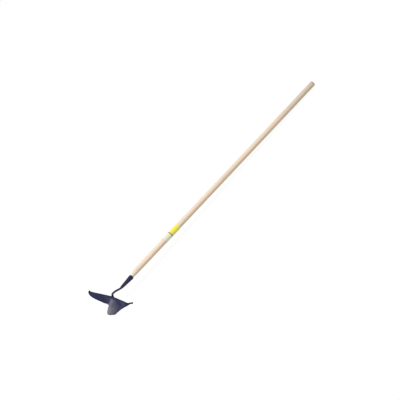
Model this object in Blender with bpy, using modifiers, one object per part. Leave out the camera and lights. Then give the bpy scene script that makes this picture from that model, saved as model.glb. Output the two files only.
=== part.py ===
"""Ridging hoe: ash pole, rolled steel socket, swan neck and a pressed blade with two wings and a beak.

Metres, +Z up, lying on the ground as it rests: the beak's lower edge and the grip end touch the floor.
The tool's own frame has its origin on the pole's axis at the socket's mouth, +Y towards the grip and +X to
the right. An empty carries the tilt and the place of the whole tool.
"""

import math

import bmesh
import bpy
from mathutils import Matrix, Vector

# Pole
POLE_DIAMETER = 0.0254
POLE_OUTSIDE = 1.447
POLE_BEFORE_NECK = 0.006
POLE_SHOULDER = 0.036
POLE_END_ROUND = 0.0030

# Socket: its centre line lies below the pole's
SOCKET_LENGTH = 0.071
SOCKET_MOUTH = 0.0225
SOCKET_TAIL = 0.0132
SOCKET_WALL = 0.0015
SOCKET_BELOW = 0.0045
SEAM = 0.0009

# Socket screw
SCREW_FROM_MOUTH = 0.018
SCREW_HEAD = 0.0070
SCREW_DOME = 0.0020
SCREW_SHANK = 0.0034
SCREW_LENGTH = 0.0105

# Swan neck
NECK_ROD = 0.0090
NECK_IN_SOCKET = 0.020
NECK_HUMP = 0.0085
NECK_BELOW_EDGE = 0.019
WELD_RING = 0.0035
WELD_BEAD = 0.0032
WELD_LENGTH = 0.0090

# Blade: the middle of its top edge lies this far out from the mouth, and this high over the pole's axis
SHEET = 0.0025
BLADE_WIDTH = 0.2520
BLADE_OUT = 0.1410
BLADE_HEIGHT = 0.0015
WING_SWEEP = 0.0130
WING_RISE = 0.0072
BEAK_REACH = 0.0520
BEAK_DROP = 0.0705

# Label, as distances from the mouth
LABEL_START = 0.244
LINE_START = 0.2885
YELLOW_START = 0.293
LABEL_END = 0.352
LABEL_FILM = 0.0006

# Fit between pieces that touch
GAP = 0.0003


def start_empty():
    for obj in list(bpy.data.objects):
        bpy.data.objects.remove(obj, do_unlink=True)
    hoe = bpy.data.collections.new("ridging_hoe")
    cutters = bpy.data.collections.new("cutters")
    for collection in (hoe, cutters):
        bpy.context.scene.collection.children.link(collection)
    cutters.hide_render = True
    return hoe, cutters


def material(name, colour, roughness, metallic=0.0):
    made = bpy.data.materials.new(name)
    made.use_nodes = True
    shader = made.node_tree.nodes["Principled BSDF"]
    shader.inputs["Base Color"].default_value = (*colour, 1.0)
    shader.inputs["Roughness"].default_value = roughness
    shader.inputs["Metallic"].default_value = metallic
    made.diffuse_color = (*colour, 1.0)
    return made


def add(name, data, collection, look=None):
    obj = bpy.data.objects.new(name, data)
    collection.objects.link(obj)
    if look:
        data.materials.append(look)
    return obj


def smooth(obj, angle=40):
    obj.data.shade_smooth()
    obj.data.set_sharp_from_angle(angle=math.radians(angle))


def as_mesh(obj):
    """Swaps a curve object for its own mesh, with the caps welded to the sides."""
    graph = bpy.context.evaluated_depsgraph_get()
    made = bpy.data.meshes.new_from_object(obj.evaluated_get(graph))
    name, collection = obj.name, obj.users_collection[0]
    bpy.data.objects.remove(obj)
    bm = bmesh.new()
    bm.from_mesh(made)
    bmesh.ops.remove_doubles(bm, verts=bm.verts, dist=1e-6)
    bmesh.ops.recalc_face_normals(bm, faces=bm.faces)
    bm.to_mesh(made)
    bm.free()
    return add(name, made, collection)


def turned(name, profile, collection, look, steps=32, closed=False):
    """A profile of (radius, distance along Y) turned about the Y axis."""
    mesh = bpy.data.meshes.new(name)
    count = len(profile)
    edges = [(i, i + 1) for i in range(count - 1)]
    if closed:
        edges.append((count - 1, 0))
    mesh.from_pydata([(radius, along, 0.0) for radius, along in profile], edges, [])
    obj = add(name, mesh, collection, look)
    screw = obj.modifiers.new("turn", "SCREW")
    screw.axis = "Y"
    screw.steps = steps
    screw.render_steps = steps
    screw.use_merge_vertices = True
    screw.merge_threshold = 0.00001
    return obj


def tube(name, path, radii, collection, look, sides=6, order=4):
    """A round rod that follows a smooth path, with its own radius at each point."""
    curve = bpy.data.curves.new(name, "CURVE")
    curve.dimensions = "3D"
    curve.twist_mode = "MINIMUM"
    curve.bevel_depth = 1.0
    curve.bevel_resolution = sides
    curve.use_fill_caps = True
    line = curve.splines.new("NURBS")
    line.points.add(len(path) - 1)
    line.order_u = order
    line.use_endpoint_u = True
    line.resolution_u = 4
    for point, place, radius in zip(line.points, path, radii):
        point.co = (*place, 1.0)
        point.radius = radius
    return add(name, curve, collection, look)


def cut(obj, cutter):
    cutter.display_type = "WIRE"
    cutter.hide_render = True
    boolean = obj.modifiers.new("cut " + cutter.name, "BOOLEAN")
    boolean.operation = "DIFFERENCE"
    boolean.solver = "EXACT"
    boolean.object = cutter


def socket_radius(along):
    """Outer radius of the socket at a distance from its mouth."""
    return 0.5 * (SOCKET_MOUTH + (SOCKET_TAIL - SOCKET_MOUTH) * along / SOCKET_LENGTH)


def tenon_radius():
    """Radius of the pole where it enters the mouth: its underside runs straight in."""
    return min(0.5 * POLE_DIAMETER - SOCKET_BELOW, socket_radius(0.0) - SOCKET_WALL - GAP)


def build_pole(hoe, cutters, wood):
    """Round pole, cut square at the grip, shaved on top where it goes down into the socket."""
    full = 0.5 * POLE_DIAMETER
    tenon = tenon_radius()
    inside = SOCKET_LENGTH - NECK_IN_SOCKET - POLE_BEFORE_NECK
    tip = min(tenon, socket_radius(inside) - SOCKET_WALL - GAP)
    stations = [
        (POLE_OUTSIDE, 0.0, full - 0.6 * POLE_END_ROUND),
        (POLE_OUTSIDE - 0.1 * POLE_END_ROUND, 0.0, full - 0.2 * POLE_END_ROUND),
        (POLE_OUTSIDE - 0.4 * POLE_END_ROUND, 0.0, full),
        (POLE_OUTSIDE - POLE_END_ROUND, 0.0, full),
        (0.5 * POLE_OUTSIDE, 0.0, full),
        (2.0 * POLE_SHOULDER, 0.0, full),
        (1.2 * POLE_SHOULDER, 0.0, full),
        (0.7 * POLE_SHOULDER, 0.3, 0.7 * full + 0.3 * tenon),
        (0.25 * POLE_SHOULDER, 1.0, tenon),
        (0.0, 1.0, tenon),
        (-0.2 * inside, 1.0, 0.8 * tenon + 0.2 * tip),
        (-inside, 1.0, tip),
    ]
    path = [(0.0, along, -low * SOCKET_BELOW) for along, low, _ in stations]
    pole = as_mesh(tube("handle", path, [radius for _, _, radius in stations], hoe, None, sides=7))
    pole.data.materials.append(wood)
    cut(pole, screw_hole("screw_pilot", cutters))
    smooth(pole, 30)
    return pole


def screw_hole(name, cutters):
    """Cutter for the screw, wider than its shank by the clearance all round and at its point."""
    start = socket_radius(SCREW_FROM_MOUTH) + 0.5 * SCREW_HEAD
    end = socket_radius(SCREW_FROM_MOUTH) - SCREW_LENGTH - GAP
    bm = bmesh.new()
    bmesh.ops.create_cone(
        bm, cap_ends=True, segments=20, radius1=0.5 * SCREW_SHANK + GAP,
        radius2=0.5 * SCREW_SHANK + GAP, depth=start - end,
    )
    bmesh.ops.rotate(bm, verts=bm.verts, matrix=Matrix.Rotation(math.radians(90), 3, "Y"))
    middle = (-0.5 * (start + end), -SCREW_FROM_MOUTH, -SOCKET_BELOW)
    bmesh.ops.translate(bm, verts=bm.verts, vec=middle)
    mesh = bpy.data.meshes.new(name)
    bm.to_mesh(mesh)
    bm.free()
    return add(name, mesh, cutters)


def build_screw(hoe, steel):
    """Round-headed screw through the socket's left side into the pole."""
    head = 0.5 * SCREW_HEAD
    shank = 0.5 * SCREW_SHANK
    profile = [
        (0.0, SCREW_DOME), (0.45 * head, 0.92 * SCREW_DOME), (0.8 * head, 0.6 * SCREW_DOME),
        (head, 0.0), (shank, 0.0), (shank, 0.3 * shank - SCREW_LENGTH), (0.4 * shank, -SCREW_LENGTH),
        (0.0, -SCREW_LENGTH),
    ]
    screw = turned("socket_screw", profile, hoe, steel, steps=20)
    slope = (SOCKET_MOUTH - SOCKET_TAIL) / (2 * SOCKET_LENGTH)
    seat = socket_radius(SCREW_FROM_MOUTH) + slope * head + GAP
    screw.location = (-seat, -SCREW_FROM_MOUTH, -SOCKET_BELOW)
    screw.rotation_euler = (0.0, 0.0, math.radians(90))
    smooth(screw)
    return screw


def build_socket(hoe, cutters, paint):
    """Sheet rolled into a cone, with the seam open along its top and a hole for the screw."""
    mouth = socket_radius(0.0)
    tail = socket_radius(SOCKET_LENGTH)
    wall = [
        (mouth, 0.0), (tail, -SOCKET_LENGTH), (tail - SOCKET_WALL, -SOCKET_LENGTH),
        (mouth - SOCKET_WALL, 0.0),
    ]
    socket = turned("socket", wall, hoe, paint, steps=48, closed=True)
    socket.location.z = -SOCKET_BELOW
    seam = bmesh.new()
    bmesh.ops.create_cube(seam, size=1.0)
    bmesh.ops.scale(seam, verts=seam.verts, vec=(SEAM, 1.2 * SOCKET_LENGTH, SOCKET_MOUTH))
    bmesh.ops.translate(
        seam, verts=seam.verts, vec=(0.0, -0.5 * SOCKET_LENGTH, 0.5 * SOCKET_MOUTH - SOCKET_BELOW)
    )
    mesh = bpy.data.meshes.new("socket_seam")
    seam.to_mesh(mesh)
    seam.free()
    cut(socket, add("socket_seam", mesh, cutters))
    cut(socket, screw_hole("screw_clearance", cutters))
    smooth(socket)
    return socket


def build_blade(hoe, paint):
    """Half of the sheet as a loose cage between top edge and lower edge, then mirrored and thickened.

    Points on the edges are shares of the half width, of the sweep or the reach, and of the rise or the
    drop. The top edge sweeps out and up to the shoulder of the wing, and back to its point. The crest
    of the beak pulls the cage out and up in the middle, which fades to nothing at the root of the wing,
    and the waist draws the beak's sides in at half their height.
    """
    half = 0.5 * BLADE_WIDTH
    top = [
        (0.00, 0.00, 0.00), (0.03, 0.06, -0.10), (0.075, 0.13, -0.08), (0.145, 0.23, 0.04),
        (0.25, 0.36, 0.20), (0.38, 0.57, 0.41), (0.48, 0.72, 0.56), (0.60, 0.86, 0.76),
        (0.71, 1.02, 0.95), (0.815, 1.17, 1.04), (0.885, 1.17, 1.16), (0.94, 0.77, 1.38),
        (1.00, 0.24, 1.15),
    ]
    low = [
        (0.00, 0.985, 0.935), (0.095, 0.89, 0.93), (0.175, 0.69, 0.995), (0.245, 0.19, 0.90),
        (0.32, -0.03, 0.83), (0.41, 0.16, 0.705), (0.49, 0.29, 0.54), (0.59, 0.42, 0.37),
        (0.715, 0.59, 0.155), (0.845, 0.575, 0.00), (0.93, 0.44, -0.09), (0.955, 0.25, -0.07),
        (1.00, 0.09, 0.00),
    ]
    crest = [
        (0.00, 0.00), (0.01, 0.13), (0.13, 0.25), (0.42, 0.34), (0.67, 0.555), (0.92, 0.69), (1.01, 0.91),
    ]
    pull = [1.0, 0.88, 0.36, 0.11]
    waist = [0.0, 0.0, 0.04, 0.035, 0.01]
    bm = bmesh.new()
    sharp = bm.verts.layers.float.new("crease_vert")
    grid = []
    for column, (upper, under) in enumerate(zip(top, low)):
        first = Vector((upper[0] * half, -upper[1] * WING_SWEEP, upper[2] * WING_RISE))
        last = Vector((under[0] * half, -under[1] * BEAK_REACH, -under[2] * BEAK_DROP))
        strength = pull[column] if column < len(pull) else 0.0
        drawn_in = waist[column] * half if column < len(waist) else 0.0
        strip = []
        for row, (out, down) in enumerate(crest):
            share = row / (len(crest) - 1)
            spot = first.lerp(last, share)
            spot.x -= drawn_in * 4.0 * share * (1.0 - share)
            spot.y -= strength * (out - share * low[0][1]) * BEAK_REACH
            spot.z -= strength * (down - share * low[0][2]) * BEAK_DROP
            strip.append(bm.verts.new(spot + Vector((0.0, -BLADE_OUT, BLADE_HEIGHT))))
        grid.append(strip)
    for left, right in zip(grid, grid[1:]):
        for corners in zip(left, left[1:], right[1:], right):
            bm.faces.new(corners)
    grid[2][-1][sharp] = 1.0
    grid[-1][0][sharp] = 1.0
    grid[-1][-1][sharp] = 1.0
    mesh = bpy.data.meshes.new("blade")
    bm.to_mesh(mesh)
    bm.free()
    blade = add("blade", mesh, hoe, paint)
    mirror = blade.modifiers.new("both halves", "MIRROR")
    mirror.merge_threshold = 0.0001
    rounding = blade.modifiers.new("pressed form", "SUBSURF")
    rounding.levels = 2
    rounding.render_levels = 2
    thick = blade.modifiers.new("sheet", "SOLIDIFY")
    thick.thickness = SHEET
    thick.offset = 0.0
    thick.use_even_offset = True
    smooth(blade)
    return blade


def neck_behind():
    """Where the neck's axis runs down behind the blade, clear of the sheet."""
    return -BLADE_OUT + 0.5 * SHEET + GAP + 0.5 * NECK_ROD


def build_neck(hoe, steel):
    """Rod out of the socket's tail, up over a hump and down behind the blade."""
    tail = -SOCKET_LENGTH
    back = neck_behind()
    run = back - tail
    spots = [
        (tail + NECK_IN_SOCKET, -SOCKET_BELOW),
        (tail + 0.5 * NECK_IN_SOCKET, -SOCKET_BELOW),
        (tail, -SOCKET_BELOW),
        (tail - WELD_RING - GAP, -SOCKET_BELOW),
        (tail + 0.18 * run, -0.8 * SOCKET_BELOW),
        (tail + 0.42 * run, 0.25 * NECK_HUMP),
        (tail + 0.70 * run, 1.0 * NECK_HUMP),
        (tail + 0.90 * run, 1.15 * NECK_HUMP),
        (back, 0.95 * NECK_HUMP),
        (back, BLADE_HEIGHT),
        (back, BLADE_HEIGHT - 0.5 * NECK_BELOW_EDGE),
        (back, BLADE_HEIGHT - NECK_BELOW_EDGE),
    ]
    path = [(0.0, along, height) for along, height in spots]
    rod = as_mesh(tube("neck", path, [0.5 * NECK_ROD] * len(path), hoe, None))
    rod.data.materials.append(steel)
    smooth(rod)
    return rod


def build_welds(hoe, steel):
    """A ring where the neck leaves the socket, and a bead on each side of it behind the blade."""
    inner = 0.5 * NECK_ROD + GAP
    face = -SOCKET_LENGTH - GAP
    outer = 0.5 * SOCKET_TAIL
    fillet = [
        (inner, face), (0.94 * outer, face), (0.9 * outer, face - 0.3 * WELD_RING),
        (0.5 * (inner + outer), face - 0.65 * WELD_RING), (inner, face - WELD_RING),
    ]
    ring = turned("neck_weld", fillet, hoe, steel, steps=32, closed=True)
    ring.location.z = -SOCKET_BELOW
    smooth(ring)
    radius = 0.5 * WELD_BEAD
    from_sheet = 0.5 * NECK_ROD - radius
    across = math.sqrt((0.5 * NECK_ROD + GAP + radius) ** 2 - from_sheet**2)
    top = BLADE_HEIGHT - radius
    for name, side in (("blade_weld_left", -1), ("blade_weld_right", 1)):
        path = [
            (side * across, neck_behind() - from_sheet, top - share * WELD_LENGTH)
            for share in (0.0, 0.12, 0.5, 0.88, 1.0)
        ]
        radii = [0.5 * radius, radius, radius, radius, 0.5 * radius]
        bead = as_mesh(tube(name, path, radii, hoe, None, sides=3))
        bead.data.materials.append(steel)
        smooth(bead)


def build_labels(hoe, colours):
    """Three bands of film round the pole."""
    bore = 0.5 * POLE_DIAMETER + GAP
    bands = (
        ("label_white", LABEL_START, LINE_START),
        ("label_line", LINE_START, YELLOW_START),
        ("label_yellow", YELLOW_START, LABEL_END),
    )
    for name, start, end in bands:
        end -= GAP
        ring = [
            (bore + LABEL_FILM, end), (bore + LABEL_FILM, start), (bore, start), (bore, end),
        ]
        smooth(turned(name, ring, hoe, colours[name], steps=32, closed=True))


def lay_on_floor(hoe, cutters):
    """Parents every piece and cutter to one empty, turned and moved so that the tool lies on the floor.

    The beak's lower edge and the grip end both touch it, and the bounding box stands over the origin.
    """
    place = bpy.data.objects.new("hoe_place", None)
    hoe.objects.link(place)
    graph = bpy.context.evaluated_depsgraph_get()
    spots = []
    for piece in hoe.objects:
        if piece.type != "MESH":
            continue
        shape = piece.evaluated_get(graph)
        spots += [shape.matrix_world @ vert.co for vert in shape.data.vertices]
    for piece in (*hoe.objects, *cutters.objects):
        if piece != place:
            piece.parent = place
    head = [spot for spot in spots if spot.y < -SOCKET_LENGTH]
    grip = [spot for spot in spots if spot.y > 0.5 * POLE_OUTSIDE]
    low, high = math.radians(-10), math.radians(10)
    for _ in range(40):
        tilt = 0.5 * (low + high)
        turn = Matrix.Rotation(tilt, 3, "X")
        if min((turn @ spot).z for spot in head) < min((turn @ spot).z for spot in grip):
            high = tilt
        else:
            low = tilt
    turned_spots = [turn @ spot for spot in spots]
    middle = [
        0.5 * (min(spot[axis] for spot in turned_spots) + max(spot[axis] for spot in turned_spots))
        for axis in (0, 1)
    ]
    place.rotation_euler = (tilt, 0.0, 0.0)
    place.location = (-middle[0], -middle[1], -min(spot.z for spot in turned_spots))


def main():
    hoe, cutters = start_empty()
    wood = material("ash_wood", (0.72, 0.58, 0.45), 0.55)
    paint = material("navy_paint", (0.025, 0.028, 0.12), 0.35)
    steel = material("dark_steel", (0.03, 0.03, 0.035), 0.45, 0.6)
    colours = {
        "label_white": material("label_white", (0.85, 0.84, 0.80), 0.5),
        "label_line": material("label_line", (0.08, 0.08, 0.09), 0.5),
        "label_yellow": material("label_yellow", (0.85, 0.78, 0.12), 0.5),
    }
    build_pole(hoe, cutters, wood)
    build_socket(hoe, cutters, paint)
    build_screw(hoe, steel)
    build_neck(hoe, steel)
    build_welds(hoe, steel)
    build_blade(hoe, paint)
    build_labels(hoe, colours)
    lay_on_floor(hoe, cutters)


main()
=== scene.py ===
"""A ridging hoe that lies on a pale floor: ash pole, painted socket and blade, black neck, plain label.

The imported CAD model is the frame. Each section makes one piece of the hoe, in the order in which a hoe is
put together, in metres. A piece is made with the pole along Y and the socket's mouth at the origin, and is
then laid down as the CAD model lies.
"""

import math

import bmesh
import bpy
from mathutils import Matrix, Vector
from mathutils.kdtree import KDTree


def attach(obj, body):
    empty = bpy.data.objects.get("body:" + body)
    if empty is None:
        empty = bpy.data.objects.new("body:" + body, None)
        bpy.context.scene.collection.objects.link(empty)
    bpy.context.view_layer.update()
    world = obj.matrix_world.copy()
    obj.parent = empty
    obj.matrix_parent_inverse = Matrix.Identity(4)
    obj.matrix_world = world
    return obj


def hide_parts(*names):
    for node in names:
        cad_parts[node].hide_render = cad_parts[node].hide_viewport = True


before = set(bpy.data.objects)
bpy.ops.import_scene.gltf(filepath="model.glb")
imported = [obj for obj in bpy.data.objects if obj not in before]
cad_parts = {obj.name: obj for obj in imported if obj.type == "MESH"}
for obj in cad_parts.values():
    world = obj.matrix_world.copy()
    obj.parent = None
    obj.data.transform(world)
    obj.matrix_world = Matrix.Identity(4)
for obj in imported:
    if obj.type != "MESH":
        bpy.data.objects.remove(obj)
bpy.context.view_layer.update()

# Camera: ten metres off, high over the blade's end and to its right, with a long lens, so that the pole
# hardly narrows as it runs away to the upper right.
camera = bpy.data.objects.new("camera", bpy.data.cameras.new("camera"))
camera.data.sensor_width = 36.0
camera.data.lens = 197.676
camera.data.clip_end = 100.0
camera.location = (5.91767, -5.24719, 6.08889)
camera.rotation_euler = [math.radians(turn) for turn in (50.6405, 16.0354, 36.2002)]
bpy.context.scene.collection.objects.link(camera)
bpy.context.scene.camera = camera

# Floor and light: a seamless white light table in an evenly lit white tent, with one wide soft box three
# metres over the blade's end and a little to its left, so that the pole's right side and its far end are
# slightly darker.
floor_size = 120.0
floor_glow = 0.91
tent_light = 0.55
soft_box_watts = 64.0
soft_box_aim = Vector((0.0, -0.2, 0.0))
bpy.context.scene.view_settings.view_transform = "Standard"
tent = bpy.data.worlds.new("tent")
tent.use_nodes = True
tent.node_tree.nodes["Background"].inputs["Color"].default_value = (1.0, 1.0, 1.0, 1.0)
tent.node_tree.nodes["Background"].inputs["Strength"].default_value = tent_light
bpy.context.scene.world = tent
floor_grid = bmesh.new()
bmesh.ops.create_grid(floor_grid, x_segments=2, y_segments=2, size=floor_size)
floor_mesh = bpy.data.meshes.new("floor")
floor_grid.to_mesh(floor_mesh)
floor_grid.free()
floor = bpy.data.objects.new("floor", floor_mesh)
floor_look = bpy.data.materials.new("floor")
floor_look.use_nodes = True
floor_shader = floor_look.node_tree.nodes["Principled BSDF"]
floor_shader.inputs["Base Color"].default_value = (0.08, 0.08, 0.08, 1.0)
floor_shader.inputs["Roughness"].default_value = 0.9
floor_shader.inputs["Emission Color"].default_value = (1.0, 1.0, 1.0, 1.0)
floor_shader.inputs["Emission Strength"].default_value = floor_glow
floor_mesh.materials.append(floor_look)
bpy.context.scene.collection.objects.link(floor)
floor.visible_diffuse = False
soft_box = bpy.data.objects.new("soft box", bpy.data.lights.new("soft box", "AREA"))
soft_box.data.shape = "SQUARE"
soft_box.data.size = 1.8
soft_box.data.energy = soft_box_watts
soft_box.location = (-0.3, -0.5, 3.0)
soft_box.rotation_euler = (soft_box.location - soft_box_aim).to_track_quat("Z", "Y").to_euler()
bpy.context.scene.collection.objects.link(soft_box)

# Pole: one straight length of ash, turned round, sanded and oiled. It is cut square at the grip, with the
# edge eased, and shaved on its upper side where it is driven down into the socket.
pole_radius = 0.0127
pole_length = 1.447
pole_in_socket = 0.045
socket_below = 0.0045
tenon_radius = 0.0082
tenon_tip_radius = 0.0065
tenon_lead = 0.010
eased_grip = [(0.0, 0.0018), (0.0002, 0.0011), (0.0007, 0.0005), (0.0015, 0.0001), (0.0030, 0.0)]
full_round = [1.2, 0.9, 0.6, 0.3, 0.072, 0.051]
shaved_top = [
    (0.042, 0.0001, 0.0002), (0.0345, 0.0004, 0.0006), (0.027, 0.0011, 0.0014), (0.0195, 0.0021, 0.0025),
    (0.012, 0.0034, 0.0037), (0.0045, 0.0043, 0.0044),
]
lie = Matrix.Translation((0.0, -0.62572, 0.06239)) @ Matrix.Rotation(math.radians(-1.98282), 4, "X")


class Wire:
    """A socket in a material's nodes. Sums on wires add Math nodes, and put adds any other node."""

    def __init__(self, tree, socket=None):
        self.tree, self.socket = tree, socket

    def put(self, kind, settings, sockets, out=0):
        node = self.tree.nodes.new("ShaderNode" + kind)
        for name, value in settings.items():
            if name == "stops":
                while len(node.color_ramp.elements) > 1:
                    node.color_ramp.elements.remove(node.color_ramp.elements[0])
                node.color_ramp.elements[0].position = value[0][0]
                for place, _ in value[1:]:
                    node.color_ramp.elements.new(place)
                for element, (_, shade) in zip(node.color_ramp.elements, value):
                    element.color = (shade, shade, shade, 1.0)
            else:
                setattr(node, name, value)
        for name, value in sockets.items():
            if isinstance(value, Wire):
                self.tree.links.new(value.socket, node.inputs[name])
            else:
                node.inputs[name].default_value = value
        return Wire(self.tree, node.outputs[out]) if node.outputs else None

    def math(self, operation, first, second=0.0):
        return self.put("Math", {"operation": operation}, {0: first, 1: second})

    def __add__(self, other):
        return self.math("ADD", self, other)

    def __sub__(self, other):
        return self.math("SUBTRACT", self, other)

    def __rsub__(self, other):
        return self.math("SUBTRACT", other, self)

    def __mul__(self, other):
        return self.math("MULTIPLY", self, other)

    def __truediv__(self, other):
        return self.math("DIVIDE", self, other)

    __radd__ = __add__
    __rmul__ = __mul__

    def ramp(self, *stops):
        """Turns a value into shares between the stops, each a place and a share."""
        return self.put("ValToRGB", {"stops": stops}, {"Fac": self})

    def clamped(self):
        """The value held between 0 and 1."""
        return self.put("Clamp", {}, {"Value": self})

    def mix(self, first, second, share):
        """The first colour, with a share of the second over it."""
        return self.put("Mix", {"data_type": "RGBA"}, {0: share, 6: first, 7: second}, 2)


def new_look(name):
    """An empty material, a wire to add its nodes with, and its place in the hoe's own frame."""
    made = bpy.data.materials.new(name)
    made.use_nodes = True
    made.node_tree.nodes.clear()
    start = Wire(made.node_tree)
    spot = start.put("TexCoord", {}, {}, "Object")
    own = start.put(
        "Mapping", {"vector_type": "TEXTURE"},
        {"Vector": spot, "Location": lie.translation, "Rotation": lie.to_euler()},
    )
    return made, start, own


def tone(red, green, blue):
    """A colour as a screen shows it, 0 to 255, in the shader's own terms."""
    return (*[((part / 255 + 0.055) / 1.055) ** 2.4 for part in (red, green, blue)], 1.0)


def reach(wire, place, axis):
    """How far the place lies along X, Y or Z."""
    return wire.put("SeparateXYZ", {}, {"Vector": place}, axis)


def cloudy(wire, place, scale, detail, **more):
    """Cloudy values from 0 to 1, with one scale, or with a scale along each of X, Y and Z."""
    if isinstance(scale, tuple):
        place = wire.put("Mapping", {"vector_type": "POINT"}, {"Vector": place, "Scale": scale})
        scale = 1.0
    return wire.put("TexNoise", {}, {"Vector": place, "Scale": scale, "Detail": detail, **more})


def surfaced(look, wire, relief, sockets):
    """The look with its shader: relief is a height, its strength and its depth, and sockets the rest."""
    height, strength, depth = relief
    bump = wire.put("Bump", {}, {"Height": height, "Strength": strength, "Distance": depth})
    shader = wire.put("BsdfPrincipled", {}, {"Normal": bump, **sockets})
    wire.put("OutputMaterial", {}, {"Surface": shader})
    return look


def draw_out(bm, stations, sides):
    """Draws a closed round bar from a circle, by an extrusion to each (along Y, height, radius)."""
    along, height, radius = stations[0]
    upright = Matrix.Translation((0.0, along, height)) @ Matrix.Rotation(math.radians(90), 4, "X")
    ring = bmesh.ops.create_circle(bm, segments=sides, radius=radius, matrix=upright)["verts"]
    first = edges = list({edge for vert in ring for edge in vert.link_edges})
    for next_along, next_height, next_radius in stations[1:]:
        made = bmesh.ops.extrude_edge_only(bm, edges=edges)["geom"]
        verts = [item for item in made if isinstance(item, bmesh.types.BMVert)]
        edges = [item for item in made if isinstance(item, bmesh.types.BMEdge)]
        centre = Matrix.Translation((0.0, -along, -height))
        bmesh.ops.scale(bm, vec=(next_radius / radius,) * 3, space=centre, verts=verts)
        bmesh.ops.translate(bm, vec=(0.0, next_along - along, next_height - height), verts=verts)
        along, height, radius = next_along, next_height, next_radius
    bmesh.ops.edgeloop_fill(bm, edges=first)
    bmesh.ops.edgeloop_fill(bm, edges=edges)
    bmesh.ops.recalc_face_normals(bm, faces=bm.faces)


def laid_down(bm, name, sharp=35.0):
    """The finished piece as an object, with its place in its mesh."""
    bmesh.ops.transform(bm, matrix=lie, verts=bm.verts)
    mesh = bpy.data.meshes.new(name)
    bm.to_mesh(mesh)
    bm.free()
    mesh.shade_smooth()
    mesh.set_sharp_from_angle(angle=math.radians(sharp))
    piece = bpy.data.objects.new(name, mesh)
    bpy.context.scene.collection.objects.link(piece)
    return piece


pole_stations = [(pole_length - back, 0.0, pole_radius - less) for back, less in eased_grip]
pole_stations += [(along, 0.0, pole_radius) for along in full_round]
pole_stations += [(along, -drop, pole_radius - less) for along, drop, less in shaved_top]
pole_stations += [
    (0.0, -socket_below, tenon_radius), (-tenon_lead, -socket_below, tenon_radius - 0.0004),
    (-pole_in_socket, -socket_below, tenon_tip_radius),
]
pole_bar = bmesh.new()
draw_out(pole_bar, pole_stations, 64)
pole = laid_down(pole_bar, "pole")

ring_spacing = 0.0021
pith_place = (0.034, 0.0, 0.052)
pith_lean = 0.014
grip_start = 1.02
darker_end_length = 0.011
shade_side_fade = 0.45
shade_side_span = 2.83 * pole_radius
ash, wood, own = new_look("ash")
along = reach(wood, own, "Y")
drift = cloudy(wood, own, (9, 1.7, 9), 3.0)
pith = wood.put(
    "Mapping", {"vector_type": "POINT"}, {"Vector": own, "Location": pith_place, "Scale": (1, pith_lean, 1)}
)
from_pith = wood.put("VectorMath", {"operation": "LENGTH"}, {0: pith}, "Value")
rings = wood.math("FRACT", from_pith / ring_spacing + drift * 3.5)
late_wood = rings.ramp((0.0, 0.0), (0.45, 0.25), (0.86, 1.0), (0.93, 0.9), (1.0, 0.0))
fibres = cloudy(wood, own, (900, 14, 900), 4.0, Roughness=0.6)
pores = cloudy(wood, own, (3200, 90, 3200), 1.0).ramp((0.62, 0.0), (0.72, 1.0)) * (1.2 - late_wood)
patches = cloudy(wood, own, (22, 5.5, 22), 2.0).ramp((0.38, 0.0), (0.68, 1.0))
# Painted shade: the wood darkens steadily from 1.02 m along the pole to the grip end, where the soft box's
# light falls off.
far_end_painted_shade = ((along - grip_start) * 2.4).clamped()
# The last 11 mm at the grip end is darker.
darker_end = ((along - (pole_length - darker_end_length)) * 110.0).clamped()
# Painted shade: a warmer, darker wood tone on the pole's right and lower side, away from the soft box, a
# little weaker near the socket.
to_shade_side = (reach(wood, own, "X") - reach(wood, own, "Z")) / shade_side_span + 0.5
painted_shade_side = to_shade_side.ramp((0.40, 0.0), (0.85, 0.65)) * (along / shade_side_fade).ramp((0.0, 0.6), (0.55, 1.0))
# The wood's colour: grain and fibres, random patches, painted shade on the right and lower side, pores,
# painted shade towards the grip end, and a darker last 11 mm.
wood_colour = wood.mix(tone(238, 227, 209), tone(213, 192, 164), late_wood * 0.55 + fibres * 0.35)
wood_colour = wood.mix(wood_colour, tone(243, 214, 186), patches * 0.5)
wood_colour = wood.mix(wood_colour, tone(230, 194, 150), painted_shade_side)
wood_colour = wood.mix(wood_colour, tone(168, 138, 106), pores * 0.45)
wood_colour = wood.mix(wood_colour, tone(186, 170, 148), far_end_painted_shade * 0.34)
wood_colour = wood.mix(wood_colour, tone(120, 108, 96), darker_end * 0.6)
surfaced(ash, wood, (late_wood * 0.3 + fibres * 0.5 - pores, 0.35, 0.0002), {
    "Base Color": wood_colour, "Roughness": 0.46 + fibres * 0.16 + pores * 0.1, "Specular IOR Level": 0.35,
})
pole.data.materials.append(ash)
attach(pole, "root")
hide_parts("handle")

# Socket: steel sheet cut to a fan and rolled into a tapering tube round the pole's end. Its edges meet
# along the top with a narrow open seam, and it is dipped in the same navy enamel as the blade.
socket_length = 0.071
socket_mouth = 0.01125
socket_tail = 0.0066
socket_wall = 0.0015
socket_edge = 0.00035
seam_width = 0.0009
fan_rows = (0.0, 0.03, 0.25, 0.5, 0.75, 0.97, 1.0)


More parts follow.
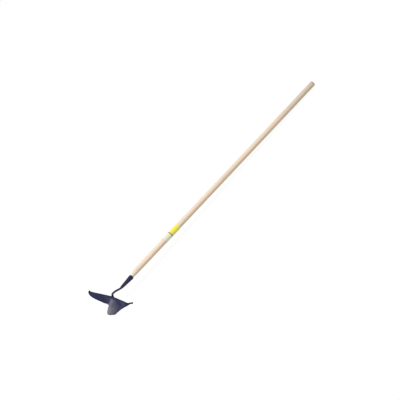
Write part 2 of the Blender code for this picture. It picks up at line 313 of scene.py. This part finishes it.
def enamel(name, colour, sheen, rim=None, touches=()):
    """Dipped enamel: slightly rippled, scuffed and dusty, painted shade along the rim, and touched with
    other tones.
    """
    made, coat, own = new_look(name)
    cloud = cloudy(coat, own, 24.0, 3.0)
    ripple = cloudy(coat, own, 420.0, 2.0)
    scuffs = cloudy(coat, own, (1500, 160, 260), 3.0, Distortion=0.6).ramp((0.64, 0.0), (0.74, 1.0))
    dust = cloudy(coat, own, 85.0, 5.0).ramp((0.45, 0.0), (0.8, 1.0))
    shade = coat.mix(tone(*colour), tone(*[0.72 * part for part in colour]), cloud)
    shade = coat.mix(shade, tone(118, 120, 140), scuffs * 0.10 + dust * 0.05)
    gloss = sheen + cloud * 0.10 + scuffs * 0.22 + dust * 0.08
    for other, share_of in touches:
        shade = coat.mix(shade, tone(*other), share_of(coat, own))
    if rim:
        rim_width = 0.0034
        edge = coat.put("Attribute", {"attribute_name": rim}, {}, "Fac")
        rim_wobble = cloudy(coat, own, 340.0, 4.0) * 0.0016
        painted_rim_shade = ((rim_width - edge + rim_wobble) * 600.0).clamped()
        # Painted shade: a dark band about 3 mm wide along the sheet's rim, with a ragged inner edge, dimming
        # the light the rounded edges catch.
        shade = coat.mix(shade, tone(24, 24, 38), painted_rim_shade * 0.88)
        gloss = gloss + painted_rim_shade * 0.12
    return surfaced(made, coat, (ripple * 0.6 + cloud * 0.5 - scuffs * 0.25, 0.18, 0.0004), {
        "Base Color": shade, "Roughness": gloss, "Specular IOR Level": 0.2,
    })


def dark_mouth(coat, own):
    """Share of the darker band over the last few millimetres at the socket's mouth."""
    return (reach(coat, own, "Y") / 0.02 + 1.0).ramp((0.50, 0.0), (0.75, 0.85), (1.0, 0.95))


def dull_tail(coat, own):
    """Share of the thin smoky coat over the socket's narrow end, where the welding heat reached."""
    return ((0.0 - reach(coat, own, "Y")) / 0.08).ramp((0.45, 0.0), (0.80, 0.75))


def thickened(piece, thickness, edge_round):
    """Gives a sheet its thickness, half to each side, and rounds its edges."""
    wall = piece.modifiers.new("sheet", "SOLIDIFY")
    wall.thickness = thickness
    wall.offset = 0.0
    wall.use_even_offset = True
    rounded = piece.modifiers.new("rounded edges", "BEVEL")
    rounded.width = edge_round
    rounded.segments = 2
    rounded.limit_method = "ANGLE"
    rounded.angle_limit = math.radians(50)


fan = bmesh.new()
profile = []
for share in fan_rows:
    radius = socket_mouth + (socket_tail - socket_mouth) * share - 0.5 * socket_wall
    profile.append(fan.verts.new((0.0, -share * socket_length, radius)))
profile_edges = [fan.edges.new(pair) for pair in zip(profile, profile[1:])]
open_angle = seam_width / (0.5 * (socket_mouth + socket_tail))
bmesh.ops.rotate(fan, verts=profile, cent=(0, 0, 0), matrix=Matrix.Rotation(0.5 * open_angle, 3, "Y"))
bmesh.ops.spin(
    fan, geom=profile + profile_edges, cent=(0, 0, 0), axis=(0, 1, 0), dvec=(0, 0, 0),
    angle=2 * math.pi - open_angle, steps=72, use_merge=False,
)
bmesh.ops.recalc_face_normals(fan, faces=fan.faces)
bmesh.ops.translate(fan, vec=(0, 0, -socket_below), verts=fan.verts)
socket = laid_down(fan, "rolled_socket")
thickened(socket, socket_wall, socket_edge)
socket_touches = (((26, 23, 36), dark_mouth), ((42, 45, 62), dull_tail))
socket.data.materials.append(enamel("socket enamel", (36, 43, 92), 0.34, touches=socket_touches))
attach(socket, "root")
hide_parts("socket")

# Socket screw: a slotted round-headed steel screw, driven through the socket's left side into the pole.
# Its head stands just clear of the socket's wall, as in the CAD model.
gap = 0.0003
screw_from_mouth = 0.018
screw_head = 0.0035
screw_dome = 0.0020
screw_shank = 0.0017
screw_length = 0.0105
screw_slot = 0.0010
slot_depth = 0.0007
slot_turn = 35
screw_profile = [
    (0.0, screw_dome), (0.0010, 0.00193), (0.0020, 0.0016), (0.0029, 0.0009), (0.0034, 0.0003),
    (screw_head, 0.0), (screw_shank, 0.0), (screw_shank, 0.0006 - screw_length),
    (0.0007, -screw_length), (0.0, -screw_length),
]
blank = bmesh.new()
outline = [blank.verts.new((radius, 0.0, out)) for radius, out in screw_profile]
outline_edges = [blank.edges.new(pair) for pair in zip(outline, outline[1:])]
bmesh.ops.spin(
    blank, geom=outline + outline_edges, cent=(0, 0, 0), axis=(0, 0, 1), dvec=(0, 0, 0),
    angle=2 * math.pi, steps=40, use_merge=True,
)
bmesh.ops.remove_doubles(blank, verts=blank.verts, dist=1e-6)
bmesh.ops.recalc_face_normals(blank, faces=blank.faces)
for side in (-0.5, 0.5):
    bmesh.ops.bisect_plane(
        blank, geom=blank.verts[:] + blank.edges[:] + blank.faces[:], dist=1e-7,
        plane_co=(side * screw_slot, 0, 0), plane_no=(1, 0, 0),
    )
slot_faces = [
    face for face in blank.faces
    if face.normal.z > 0.2 and abs(face.calc_center_median().x) < 0.5 * screw_slot
]
sunk = bmesh.ops.extrude_face_region(blank, geom=slot_faces)["geom"]
bmesh.ops.delete(blank, geom=slot_faces, context="FACES")
sunk = [item for item in sunk if isinstance(item, bmesh.types.BMVert)]
bmesh.ops.translate(blank, vec=(0, 0, -slot_depth), verts=sunk)
bmesh.ops.recalc_face_normals(blank, faces=blank.faces)
socket_slope = (socket_mouth - socket_tail) / socket_length
screw_seat = socket_mouth - socket_slope * screw_from_mouth + socket_slope * screw_head + gap
screw_place = Matrix.Translation((-screw_seat, -screw_from_mouth, -socket_below))
turn_out = Matrix.Rotation(math.radians(-90), 4, "Y") @ Matrix.Rotation(math.radians(slot_turn), 4, "Z")
bmesh.ops.transform(blank, matrix=screw_place @ turn_out, verts=blank.verts)
screw = laid_down(blank, "socket_screw_head")


def black_steel(name, colour, rough):
    """Steel blackened by heat and a thin dip of paint: nearly black, with a dull, uneven gloss."""
    made, steel, own = new_look(name)
    cloud = cloudy(steel, own, 60.0, 4.0)
    scale = cloudy(steel, own, 900.0, 3.0)
    rubbed = cloudy(steel, own, (420, 90, 420), 3.0).ramp((0.60, 0.0), (0.76, 1.0))
    shade = steel.mix(tone(*colour), tone(*[1.5 * part for part in colour]), cloud)
    shade = steel.mix(shade, tone(112, 114, 122), rubbed * 0.22)
    return surfaced(made, steel, (scale * 0.7 + cloud, 0.25, 0.0003), {
        "Base Color": shade, "Roughness": rough + cloud * 0.16 - rubbed * 0.08,
        "Metallic": rubbed * 0.7, "Specular IOR Level": 0.2,
    })


screw.data.materials.append(black_steel("screw steel", (58, 58, 62), 0.32))
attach(screw, "root")
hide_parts("socket_screw")

# Swan neck: a 9 mm steel rod, bent cold. It comes straight out of the socket, rises over a low hump and
# turns down behind the blade, where it is welded.
neck_radius = 0.0045
neck_in_socket = 0.020
neck_hump = 0.0085
neck_edge = 0.0006
blade_out = 0.1410
blade_height = 0.0015
neck_below_edge = 0.019
sheet = 0.0025
neck_back = -blade_out + 0.5 * sheet + gap + neck_radius
run = neck_back + socket_length
neck_route = [
    (-socket_length + neck_in_socket, -socket_below),
    (-socket_length + 0.5 * neck_in_socket, -socket_below),
    (-socket_length, -socket_below), (-socket_length - 0.0038, -socket_below),
    (-socket_length + 0.18 * run, -0.8 * socket_below), (-socket_length + 0.42 * run, 0.25 * neck_hump),
    (-socket_length + 0.70 * run, neck_hump), (-socket_length + 0.90 * run, 1.15 * neck_hump),
    (neck_back, 0.95 * neck_hump), (neck_back, blade_height),
    (neck_back, blade_height - 0.5 * neck_below_edge), (neck_back, blade_height - neck_below_edge),
]
bend = bpy.data.curves.new("bend", "CURVE")
bend.dimensions = "3D"
bend.twist_mode = "MINIMUM"
bend.bevel_depth = neck_radius
bend.bevel_resolution = 14
bend.use_fill_caps = True
line = bend.splines.new("NURBS")
line.points.add(len(neck_route) - 1)
line.order_u = 4
line.use_endpoint_u = True
line.resolution_u = 10
for point, (out, up) in zip(line.points, neck_route):
    point.co = (0.0, out, up, 1.0)
bent = bpy.data.objects.new("bend", bend)
bpy.context.scene.collection.objects.link(bent)


def settled(shape):
    """An object's finished mesh as a bmesh. The object goes."""
    mesh = bpy.data.meshes.new_from_object(shape.evaluated_get(bpy.context.evaluated_depsgraph_get()))
    bpy.data.objects.remove(shape)
    bm = bmesh.new()
    bm.from_mesh(mesh)
    bpy.data.meshes.remove(mesh)
    return bm


rod = settled(bent)
bmesh.ops.remove_doubles(rod, verts=rod.verts, dist=1e-6)
bmesh.ops.recalc_face_normals(rod, faces=rod.faces)
rims = [edge for edge in rod.edges if edge.calc_face_angle(0.0) > math.radians(60)]
bmesh.ops.bevel(
    rod, geom=rims, offset=neck_edge, offset_type="OFFSET", segments=3, profile=0.5, affect="EDGES",
    material=-1,
)
neck = laid_down(rod, "swan_neck")
neck.data.materials.append(black_steel("neck steel", (26, 27, 40), 0.36))
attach(neck, "root")
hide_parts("neck")

# Welds: a rippled ring of weld metal closes the socket's tail round the neck, and a short bead each side
# of the neck holds it to the back of the blade. All were painted over with the rest.
ring_length = 0.0035
ring_face = -socket_length - gap
ring_inner = neck_radius + gap
ring_ripples = 16
ring_ripple = 0.00022
fillet = [
    (ring_inner, ring_face), (0.98 * socket_tail, ring_face),
    (0.97 * socket_tail, ring_face - 0.2 * ring_length), (0.88 * socket_tail, ring_face - 0.5 * ring_length),
    (0.76 * socket_tail, ring_face - 0.8 * ring_length), (ring_inner, ring_face - ring_length),
]


def turned(outline, steps):
    """Turns a closed outline of corners, each (radius, along Y), once round the pole's line."""
    bm = bmesh.new()
    corners = [bm.verts.new((0.0, along, radius)) for radius, along in outline]
    sides = [bm.edges.new(pair) for pair in zip(corners, corners[1:] + corners[:1])]
    bmesh.ops.spin(
        bm, geom=corners + sides, cent=(0, 0, 0), axis=(0, 1, 0), dvec=(0, 0, 0),
        angle=2 * math.pi, steps=steps, use_merge=True,
    )
    bmesh.ops.remove_doubles(bm, verts=bm.verts, dist=1e-6)
    bmesh.ops.recalc_face_normals(bm, faces=bm.faces)
    return bm


ring = turned(fillet, 96)
for vert in ring.verts:
    turn = math.atan2(vert.co.z, vert.co.x)
    if math.hypot(vert.co.x, vert.co.z) > ring_inner + 1e-5:
        fade = min(1.0, (ring_face - vert.co.y) / 0.001)
        vert.co.y += ring_ripple * (math.cos(ring_ripples * turn) - 1.0) * fade
bmesh.ops.translate(ring, vec=(0, 0, -socket_below), verts=ring.verts)
neck_ring = laid_down(ring, "neck_weld_ring")
weld_look = black_steel("painted weld", (34, 36, 58), 0.40)
neck_ring.data.materials.append(weld_look)
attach(neck_ring, "root")
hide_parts("neck_weld")

bead_radius = 0.0016
bead_length = 0.0090
bead_ripple = 0.07
bead_spacing = 0.00055
from_sheet = neck_radius - bead_radius
bead_across = math.sqrt((neck_radius + gap + bead_radius) ** 2 - from_sheet**2)
bead_half = 0.5 * bead_length + 0.4 * bead_radius
for name, node, side in (("weld_left", "blade_weld_left", -1), ("weld_right", "blade_weld_right", 1)):
    bead = bmesh.new()
    bmesh.ops.create_uvsphere(bead, u_segments=24, v_segments=36, radius=1.0)
    bmesh.ops.scale(bead, vec=(bead_radius, bead_radius, bead_half), verts=bead.verts)
    for vert in bead.verts:
        swell = 1.0 - bead_ripple + bead_ripple * math.cos(vert.co.z / bead_spacing)
        vert.co.x *= swell
        vert.co.y *= swell
    middle = (side * bead_across, neck_back - from_sheet, blade_height - bead_radius - 0.5 * bead_length)
    bmesh.ops.translate(bead, vec=middle, verts=bead.verts)
    weld = laid_down(bead, name, sharp=180.0)
    weld.data.materials.append(weld_look)
    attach(weld, "root")
    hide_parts(node)

# Blade: one 2.5 mm steel sheet pressed hot in a die. Two leaf-shaped wings sweep forward and up, and the
# deep beak between them, which cuts the furrow, is flat along its lower edge. It is dipped in navy enamel.
half_width = 0.1260
wing_sweep = 0.0130
wing_rise = 0.0072
beak_reach = 0.0520
beak_drop = 0.0705
blade_edge = 0.0006

# Edges from the blade's middle to the wing's point, and the beak's crest from the top edge down, all in
# shares of the sizes above: across, forward and up; across, forward and down; forward and down.
top_edge = [
    (0.00, 0.00, 0.22), (0.03, 0.06, 0.14), (0.075, 0.13, 0.14), (0.145, 0.23, 0.26), (0.25, 0.36, 0.40),
    (0.38, 0.57, 0.58), (0.48, 0.72, 0.70), (0.60, 0.86, 0.84), (0.71, 1.02, 0.99), (0.815, 1.17, 1.04),
    (0.885, 1.17, 1.16), (0.94, 0.77, 1.38), (1.00, 0.24, 1.15),
]
lower_edge = [
    (0.00, 0.985, 0.935), (0.095, 0.89, 0.93), (0.175, 0.69, 0.995), (0.245, 0.19, 0.90),
    (0.32, -0.03, 0.83), (0.41, 0.16, 0.705), (0.49, 0.29, 0.54), (0.59, 0.42, 0.37),
    (0.715, 0.59, 0.155), (0.845, 0.575, 0.00), (0.93, 0.44, -0.09), (0.955, 0.25, -0.07),
    (1.00, 0.09, 0.00),
]
beak_crest = [
    (0.00, 0.00), (0.01, 0.13), (0.13, 0.25), (0.42, 0.34), (0.67, 0.555), (0.92, 0.69), (1.01, 0.91),
]

# How much each column takes from the crest, how far the beak's sides draw in, and how much higher or
# lower the left wing's point lies than the right wing's, in metres.
crest_pull = [1.0, 0.88, 0.36, 0.11] + 9 * [0.0]
waist = [0.0, 0.0, 0.04, 0.035, 0.01] + 8 * [0.0]
left_lift = 8 * [0.0] + [0.0006, 0.0018, 0.0022, -0.0012, -0.0060]
press = bmesh.new()
firm = press.verts.layers.float.new("crease_vert")
lift = press.verts.layers.float.new("lift")
columns = len(top_edge) - 1
rows = len(beak_crest) - 1
firm_corners = ((2, rows), (columns, 0), (columns, rows))
bmesh.ops.create_grid(press, x_segments=columns, y_segments=rows, size=1.0)
for vert in press.verts:
    column = round(0.5 * (vert.co.x + 1) * columns)
    row = round(0.5 * (1 - vert.co.y) * rows)
    side, sweep, rise = top_edge[column]
    upper = Vector((side * half_width, -sweep * wing_sweep, rise * wing_rise))
    side, forward, drop = lower_edge[column]
    under = Vector((side * half_width, -forward * beak_reach, -drop * beak_drop))
    out, down = beak_crest[row]
    pull = crest_pull[column]
    vert.co = upper.lerp(under, row / rows)
    vert.co.x -= waist[column] * half_width * 4.0 * row / rows * (1.0 - row / rows)
    vert.co.y -= pull * (out - row / rows * lower_edge[0][1]) * beak_reach + blade_out
    vert.co.z -= pull * (down - row / rows * lower_edge[0][2]) * beak_drop - blade_height
    vert[firm] = float((column, row) in firm_corners)
    vert[lift] = left_lift[column] * (1.0 - row / rows)
bmesh.ops.mirror(
    press, geom=press.verts[:] + press.edges[:] + press.faces[:], axis="X", merge_dist=0.0001
)
bmesh.ops.remove_doubles(press, verts=press.verts, dist=0.00005)
for vert in press.verts:
    if vert.co.x < 0.0:
        vert.co.z += vert[lift]
bmesh.ops.recalc_face_normals(press, faces=press.faces)
cage = laid_down(press, "cage")
rounding = cage.modifiers.new("pressed form", "SUBSURF")
rounding.levels = rounding.render_levels = 3
formed = settled(cage)
from_rim = formed.verts.layers.float.new("from_rim")
edge_verts = [vert for vert in formed.verts if vert.is_boundary]
near_rim = KDTree(len(edge_verts))
for number, vert in enumerate(edge_verts):
    near_rim.insert(vert.co, number)
near_rim.balance()
for vert in formed.verts:
    vert[from_rim] = near_rim.find(vert.co)[2]
bmesh.ops.transform(formed, matrix=lie.inverted(), verts=formed.verts)
blade = laid_down(formed, "ridger_blade", sharp=180.0)
thickened(blade, sheet, blade_edge)


def beak_painted_sheen(coat, own):
    """Share of the pale painted sheen: full on the beak's crest, thinner to its right and towards the top.
    """
    side = (reach(coat, own, "X") / 0.14 + 0.25).ramp(
        (0.10, 0.0), (0.155, 0.25), (0.22, 1.0), (0.28, 1.0), (0.36, 0.62), (0.44, 0.24), (0.56, 0.13),
        (0.80, 0.08), (0.92, 0.0),
    )
    depth = ((0.0 - reach(coat, own, "Z")) / 0.06).ramp((0.10, 0.0), (0.22, 0.58), (0.50, 0.62), (0.72, 1.0))
    return side * depth * (0.7 + cloudy(coat, own, 110.0, 3.0) * 0.5)


def right_wing_painted_sheen(coat, own):
    """Share of the faint bluish painted sheen over the right wing."""
    across = reach(coat, own, "X") / 0.14
    sheen_share = across.ramp((0.16, 0.0), (0.30, 0.10), (0.52, 0.09), (0.76, 0.02))
    return sheen_share * (0.7 + cloudy(coat, own, 70.0, 3.0) * 0.6)


def wing_points_painted_shade(coat, own):
    """Share of the painted shade that darkens the wings' points."""
    across = reach(coat, own, "X") / 0.28 + 0.5
    return across.ramp((0.10, 1.0), (0.15, 0.0), (0.76, 0.0), (0.84, 0.45), (0.90, 1.0))


def enamel_run(coat, own):
    """Share of one dark bead of enamel on the top edge, right of the neck."""
    bead_place = (0.016, -0.1445, 0.003)
    off_bead = coat.put("VectorMath", {"operation": "DISTANCE"}, {0: own, 1: bead_place}, "Value")
    return (1.8 - off_bead / 0.0022).clamped()


# Touches: painted sheen on the beak and on the right wing, painted shade on the wings' points, and one dark
# bead of enamel.
blade_touches = (
    ((140, 140, 148), beak_painted_sheen), ((120, 125, 190), right_wing_painted_sheen), ((24, 24, 28), wing_points_painted_shade),
    ((10, 10, 14), enamel_run),
)
blade_look = enamel("blade enamel", (52, 56, 108), 0.42, rim="from_rim", touches=blade_touches)
blade.data.materials.append(blade_look)
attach(blade, "root")
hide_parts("blade")

# Label: plain film wrapped once round the pole above the socket and glued down. A white field and a
# yellow one meet at a thin dark line.
film = 0.0006
film_edge = 0.00015
label_inner = pole_radius + gap
label_outer = label_inner + film
label_bands = (
    ("label_white_film", "label_white", 0.2440, 0.2882, (232, 231, 202), (214, 213, 188)),
    ("label_line_film", "label_line", 0.2885, 0.2927, (118, 115, 98), (92, 90, 80)),
    ("label_yellow_film", "label_yellow", 0.2930, 0.3517, (244, 234, 96), (228, 214, 70)),
)


def print_look(name, colour, shadow):
    """Tinted film: satin, a little mottled where the ink lies thinner, rubbed along the pole."""
    made, ink, own = new_look(name)
    mottle = cloudy(ink, own, 240.0, 4.0)
    rubs = cloudy(ink, own, (1400, 120, 1400), 3.0).ramp((0.6, 0.0), (0.74, 1.0))
    shade = ink.mix(tone(*colour), tone(*shadow), mottle * 0.6)
    shade = ink.mix(shade, tone(216, 212, 200), rubs * 0.2)
    return surfaced(made, ink, (mottle - rubs * 0.4, 0.12, 0.0002), {
        "Base Color": shade, "Roughness": 0.34 + mottle * 0.12 + rubs * 0.2, "Specular IOR Level": 0.4,
    })


for name, node, start, end, colour, shadow in label_bands:
    band = turned([
        (label_inner, start), (label_outer - film_edge, start), (label_outer, start + film_edge),
        (label_outer, end - film_edge), (label_outer - film_edge, end), (label_inner, end),
    ], 72)
    label = laid_down(band, name)
    label.data.materials.append(print_look(name, colour, shadow))
    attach(label, "root")
    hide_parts(node)
